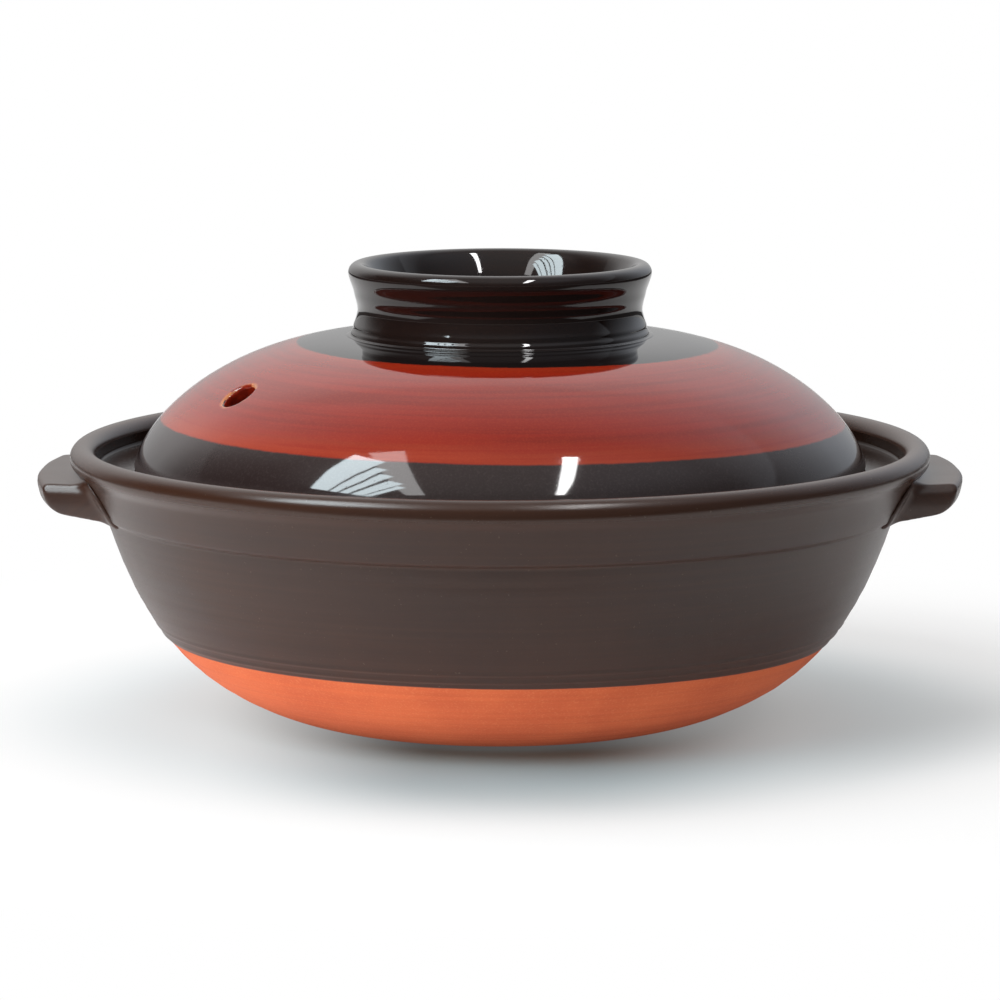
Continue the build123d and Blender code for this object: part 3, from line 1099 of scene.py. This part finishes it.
def knob_outline(knob, crown):
    """Once round the section of the ring: up outside, over the lip, down inside and back below."""
    lip = knob.lip_thickness / 2
    lip_height = knob.top - lip
    base = Vector((knob.radius - knob.base_inset, crown))
    waist = Vector((knob.radius - knob.waist_inset, crown + knob.waist_height))
    neck = Vector((knob.radius - knob.neck_inset, crown + knob.neck_height))
    lip_side = Vector((knob.radius, lip_height))
    inner_base = Vector((base.x - knob.base_thickness, crown))
    rise = (neck - waist).normalized()
    lean = math.atan2(rise.y, rise.x)
    middle = curve(waist, neck, math.radians(92), 2.4 * MM, lean + math.pi, 2.4 * MM, 12)
    upper = curve(neck, lip_side, lean, 2.2 * MM, math.radians(-96), 2.2 * MM, 12)
    lip_line = arc((knob.radius - lip, lip_height), lip, 0, math.radians(140), 24)
    narrow = Vector((knob.radius - lip - knob.funnel_width, knob.top - knob.funnel_depth))
    inner_foot = inner_base + Vector((0, knob.inner_fillet))
    falls, rises = math.radians(230), math.radians(70)
    funnel = curve(lip_line[-1], narrow, falls, 3 * MM, rises, 3.5 * MM, 14)
    skirt_outer = base + Vector((knob.fillet * 1.6, -0.12 * MM))
    skirt_inner = inner_base - Vector((knob.inner_fillet, 0.05 * MM))
    corners = [skirt_outer, base + Vector((0, 0.05 * MM))]
    for step, slope in ((0, knob.step_slope), (1, knob.step_slope * 1.5)):
        foot = base + Vector((-step * knob.step_width, step * knob.step_height))
        corners.append(foot + Vector((-0.1 * MM, knob.step_height - knob.step_slope)))
        corners.append(corners[-1] + Vector((0.1 * MM - knob.step_width, slope)))
    corners.append(waist)
    stepped = [skirt_outer]
    for before, corner, after in zip(corners, corners[1:-1], corners[2:]):
        cut = knob.waist_sweep if after == waist else 0.45 * MM
        run = min((corner - before).length, (after - corner).length)
        stepped += soft_corner(before, corner, after, min(cut, run * 0.48), 8)
    pulls = inner_foot.lerp(inner_base, 0.6), skirt_inner.lerp(inner_base, 0.6)
    sunk = Vector((0, knob.sink))
    return [
        *stepped,
        *middle,
        *upper[1:],
        *lip_line[1:],
        *funnel[1:],
        *straight(narrow, inner_foot, 6)[1:],
        *interpolate_bezier(inner_foot, *pulls, skirt_inner, 8)[1:],
        skirt_inner - sunk,
        skirt_outer - sunk,
    ]


class DONABE_OT_knob(bpy.types.Operator):
    """Turn the hollow knob that the lid is lifted by"""

    bl_idname = "donabe.build_knob"
    bl_label = "Build knob"
    bl_options = {"REGISTER", "UNDO"}

    def execute(self, context):
        settings = context.scene.donabe
        knob, crown = settings.knob, settings.lid.crown
        shape = turned(knob_outline(knob, crown), knob.steps, closed=True)
        for vert in shape.verts:
            free = smooth_share(vert.co.z, crown + 1 * MM, crown + 4 * MM)
            free *= 1 - smooth_share(vert.co.z, knob.top - 3 * MM, knob.top - 1 * MM)
            sway = noise.noise(vert.co / (22 * MM)) + 0.5 * wheel_mark(vert.co, 1, 6 * MM, 0.8)
            vert.co += vert.normal * (knob.sway * sway * free)
        materials = [black_material(settings)]
        make_piece("lid_knob_glazed", shape, materials, "lid", "black_gloss_glaze", "lid_knob")
        return {"FINISHED"}


# Stage


def add_lamp(name, place, rotation, length, width, power, shown_in, colour=WHITE):
    """A flat lamp. Its light counts for gloss or for matt surfaces, and the camera never sees it."""
    lamp = bpy.data.lights.new(name, "AREA")
    lamp.shape = "RECTANGLE"
    lamp.size, lamp.size_y = length, width
    lamp.energy = power
    lamp.color = colour
    panel = bpy.data.objects.new(name, lamp)
    panel.visible_camera = False
    panel.visible_glossy = shown_in == "gloss"
    panel.visible_diffuse = shown_in == "matt"
    panel.location = place
    panel.rotation_euler = rotation
    bpy.context.collection.objects.link(panel)


def add_pane(name, start, end, width, height, brightness, colour=WHITE):
    """A bright pane that lies level between two points and shines down into the gloss."""
    start, end = Vector(start), Vector(end)
    run = end - start
    middle = (start + end) / 2
    power = brightness * math.pi * run.length * width
    turn = (0, 0, math.atan2(run.y, run.x))
    add_lamp(name, (middle.x, middle.y, height), turn, run.length, width, power, "gloss", colour)


def add_softbox(name, place, aim, size, power):
    """A soft light that faces the pot and doesn't show in the gloss."""
    place = Vector(place)
    turn = (Vector(aim) - place).to_track_quat("-Z", "Y").to_euler()
    add_lamp(name, place, turn, size, size, power, "matt")


def emission(tree, colour, strength=1.0):
    """A surface that gives light."""
    return put(tree, "ShaderNodeEmission", {"Color": colour, "Strength": strength}).outputs[0]


def blended(tree, factor, first, second):
    """Two surfaces mixed by a factor."""
    return put(tree, "ShaderNodeMixShader", {0: factor, 1: first, 2: second}).outputs[0]


def floor_material(bounce):
    """Pale floor that keeps the pot's shadow, fades to white, and throws light up at the pot. For the
    camera it also carries painted shadow round the foot, darker and bluish, and painted light that lifts
    the shadow beside the pot, more on the left than on the right.
    """
    material, tree, shader = start_material("pale_floor")
    rays = put(tree, "ShaderNodeLightPath").outputs
    camera_ray = rays["Is Camera Ray"]
    place = object_place(tree)
    away = vector_math(tree, "LENGTH", {0: place}, "Value")
    x = xyz(tree, place)[0]
    # Painted shadow: round the foot the camera sees a darker, bluish floor, which also cancels the red
    # light thrown from the clay.
    near = calc(tree, "MULTIPLY", ranged(tree, away, 0.068, 0.2, 1.0, 0.0), camera_ray)
    colour = mixed(tree, near, WHITE, (0.22, 0.47, 0.54))
    tree.links.new(colour, shader.inputs["Base Color"])
    shader.inputs["Roughness"].default_value = 0.9
    shader.inputs["Specular IOR Level"].default_value = 0.0
    # Painted shadow: for the camera, a dim grey glow right at the foot stands in for the contact shadow.
    painted_contact_shadow = calc(tree, "MULTIPLY", ranged(tree, away, 0.066, 0.088, 0.75, 0.0), camera_ray)
    look = blended(tree, painted_contact_shadow, shader.outputs[0], emission(tree, (0.1, 0.1, 0.1)))
    # For the camera the floor turns white far from the pot, and painted light lifts the shadow beside the
    # pot, more on the left than on the right.
    white_fade_and_painted_light = ranged(tree, away, 0.19, 0.34)
    for low, high, at_low, at_high in ((-0.1, -0.02, 0.58, 0.0), (0.02, 0.1, 0.0, 0.32)):
        white_fade_and_painted_light = calc(tree, "MAXIMUM", white_fade_and_painted_light, ranged(tree, x, low, high, at_low, at_high))
    white_fade_and_painted_light = calc(tree, "MULTIPLY", white_fade_and_painted_light, camera_ray)
    look = blended(tree, white_fade_and_painted_light, look, emission(tree, WHITE))
    strength = ranged(tree, x, -0.16, 0.16, bounce * 1.25, bounce * 0.38)
    strength = calc(tree, "MULTIPLY", strength, ranged(tree, away, 0.066, 0.125, 0.22, 1.0))
    card = emission(tree, (1.0, 0.98, 0.96), strength)
    look = blended(tree, rays["Is Diffuse Ray"], look, card)
    tree.links.new(look, tree.nodes["Material Output"].inputs["Surface"])
    return material


def dark_reflection_sheet_material():
    """A dark sheet on the floor that only the gloss shows: a painted dark reflection in front of the pot
    and to each side. Its edge is soft.
    """
    material, tree, shader = start_material("painted_dark_reflection_sheet")
    shader.inputs["Base Color"].default_value = (0.03, 0.028, 0.028, 1.0)
    shader.inputs["Roughness"].default_value = 0.9
    x, y, _ = xyz(tree, object_place(tree))
    cover = ranged(tree, y, -0.24, -0.18, 1.0, 0.0)
    for low, high, at_low, at_high in ((-0.58, -0.50, 1.0, 0.0), (0.46, 0.54, 0.0, 1.0)):
        cover = calc(tree, "MAXIMUM", cover, ranged(tree, x, low, high, at_low, at_high))
    clear = put(tree, "ShaderNodeBsdfTransparent").outputs[0]
    look = blended(tree, cover, clear, shader.outputs[0])
    tree.links.new(look, tree.nodes["Material Output"].inputs["Surface"])
    return material


def light_world(world, fill):
    """White behind the pot, even fill, and for gloss a white backdrop under a dim room."""
    world.use_nodes = True
    tree = world.node_tree
    path = put(tree, "ShaderNodeLightPath").outputs
    ray = put(tree, "ShaderNodeTexCoord").outputs["Generated"]
    x, y, z = xyz(tree, ray)
    behind = calc(tree, "MAXIMUM", y, 0.0)
    over_edge = calc(tree, "MULTIPLY_ADD", y, -1.235, calc(tree, "MULTIPLY_ADD", x, -0.16, z))
    on_backdrop = ranged(tree, over_edge, -0.03, 0.03, 1.0, 0.0)
    glow = calc(tree, "MINIMUM", calc(tree, "MULTIPLY", behind, 1.4), 1.05)
    backdrop = calc(tree, "MULTIPLY", calc(tree, "MULTIPLY_ADD", z, 1.05, 0.5), glow)
    ceiling = calc(tree, "MULTIPLY_ADD", calc(tree, "MINIMUM", behind, 0.5), 1.3, 0.35)
    ceiling = calc(tree, "MULTIPLY", ceiling, ranged(tree, x, -0.95, -0.45, 0.15, 1.0))
    front = ranged(tree, z, 0.4, 0.85, 0.12, 0.5)
    room = between(tree, ranged(tree, y, -0.15, 0.1), front, ceiling)
    seen = between(tree, on_backdrop, room, backdrop)
    seen = calc(tree, "MULTIPLY", seen, ranged(tree, x, -0.97, -0.6, 0.2, 1.0))
    strength = between(tree, path["Is Glossy Ray"], calc(tree, "MULTIPLY", seen, fill), seen)
    strength = between(tree, path["Is Camera Ray"], strength, 1.0)
    background = tree.nodes["Background"]
    cool = calc(tree, "MULTIPLY", ranged(tree, x, 0.0, 0.6), path["Is Glossy Ray"])
    colour = mixed(tree, cool, WHITE, (0.93, 0.99, 1.08))
    tree.links.new(colour, background.inputs["Color"])
    tree.links.new(strength, background.inputs["Strength"])


def level_sheet(name, half_width, squares, height, material):
    """A level square sheet that spreads out round the pot's axis."""
    sheet = bmesh.new()
    bmesh.ops.create_grid(sheet, x_segments=squares, y_segments=squares, size=half_width)
    bmesh.ops.translate(sheet, verts=sheet.verts, vec=UP * height)
    return as_object(name, sheet, material)


class DONABE_OT_stage(bpy.types.Operator):
    """Set the floor, the lights and the camera"""

    bl_idname = "donabe.set_stage"
    bl_label = "Set stage"
    bl_options = {"REGISTER", "UNDO"}

    def execute(self, context):
        scene, stage = context.scene, context.scene.donabe.stage

        floor = level_sheet("floor", 12.0, 8, 0, floor_material(stage.bounce))

        lens = bpy.data.cameras.new("camera")
        lens.sensor_width = 36.0
        lens.lens = stage.camera_lens
        camera = bpy.data.objects.new("camera", lens)
        aim = Vector((0, 0, stage.camera_aim))
        back = polar(stage.camera_rise, stage.camera_distance)
        camera.location = aim + Vector((0, -back.x, back.y))
        camera.rotation_euler = (aim - camera.location).to_track_quat("-Z", "Y").to_euler()
        context.collection.objects.link(camera)
        scene.camera = camera

        # A dark sheet that only the gloss sees: painted dark reflection in front of and beside the pot.
        painted_dark_reflection_sheet = level_sheet("painted_dark_reflection_sheet", 3.0, 2, 1 * MM, dark_reflection_sheet_material())
        painted_dark_reflection_sheet.visible_camera = painted_dark_reflection_sheet.visible_diffuse = painted_dark_reflection_sheet.visible_shadow = False

        along, across = Vector((-0.86, -0.51)), Vector((0.51, -0.86))
        panes = (
            (0.70, -0.155, 0.25),
            (0.84, 0.042, 0.095),
            (0.95, 0.17, 0.1),
            (1.06, 0.33, 0.14),
            (1.16, 0.46, 0.08),
        )
        for index, (start, offset, width) in enumerate(panes):
            ends = [along * reach + across * offset for reach in (start, 1.9)]
            add_pane(f"pane_{index}", *ends, width, stage.ceiling, stage.window, (0.82, 0.95, 1.0))
        add_pane("blind", (-0.55, -0.15), (-0.80, -1.40), 0.2, stage.ceiling, stage.blind)
        add_pane("strip", (0.35, -0.32), (0.54, -1.40), 0.09, stage.ceiling, stage.strip)
        middle = (0, 0, stage.camera_aim)
        add_softbox("side_key", (-0.88, -0.78, 1.16), middle, 1.0, stage.side_key)
        add_softbox("back_key", (-0.45, 0.45, 1.60), middle, 1.0, stage.back_key)

        world = scene.world or bpy.data.worlds.new("studio")
        scene.world = world
        light_world(world, stage.fill)
        scene.view_settings.view_transform = "Standard"
        return {"FINISHED"}


class DONABE_PT_panel(bpy.types.Panel):
    """Lists the pot's pieces and its stage in the sidebar"""

    bl_idname = "DONABE_PT_panel"
    bl_label = "Donabe"
    bl_space_type = "VIEW_3D"
    bl_region_type = "UI"
    bl_category = "Donabe"

    def draw(self, context):
        settings = context.scene.donabe
        parts = (
            (DONABE_OT_bowl, settings.bowl),
            (DONABE_OT_lugs, settings.lugs),
            (DONABE_OT_lid, settings.lid),
            (DONABE_OT_knob, settings.knob),
            (DONABE_OT_stage, settings.stage),
        )
        for operator, sizes in parts:
            box = self.layout.box()
            box.operator(operator.bl_idname)
            for name in sizes.__annotations__:
                box.prop(sizes, name)
        for name in settings.colours.__annotations__:
            self.layout.prop(settings.colours, name)


CLASSES = (
    BowlSizes,
    LugSizes,
    LidSizes,
    KnobSizes,
    Colours,
    StageSettings,
    DonabeSettings,
    DONABE_OT_bowl,
    DONABE_OT_lugs,
    DONABE_OT_lid,
    DONABE_OT_knob,
    DONABE_OT_stage,
    DONABE_PT_panel,
)


def register():
    """Adds the classes and the scene's settings."""
    for item in CLASSES:
        bpy.utils.register_class(item)
    bpy.types.Scene.donabe = bpy.props.PointerProperty(
        type=DonabeSettings, name="Donabe", description="Sizes, colours and stage of the pot"
    )


def unregister():
    """Takes the settings and the classes away again."""
    del bpy.types.Scene.donabe
    for item in reversed(CLASSES):
        bpy.utils.unregister_class(item)


def main():
    """Builds the pot piece by piece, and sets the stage."""
    register()
    bpy.ops.donabe.build_bowl()
    bpy.ops.donabe.build_lugs()
    bpy.ops.donabe.build_lid()
    bpy.ops.donabe.build_knob()
    bpy.ops.donabe.set_stage()


if __name__ == "__main__":
    main()
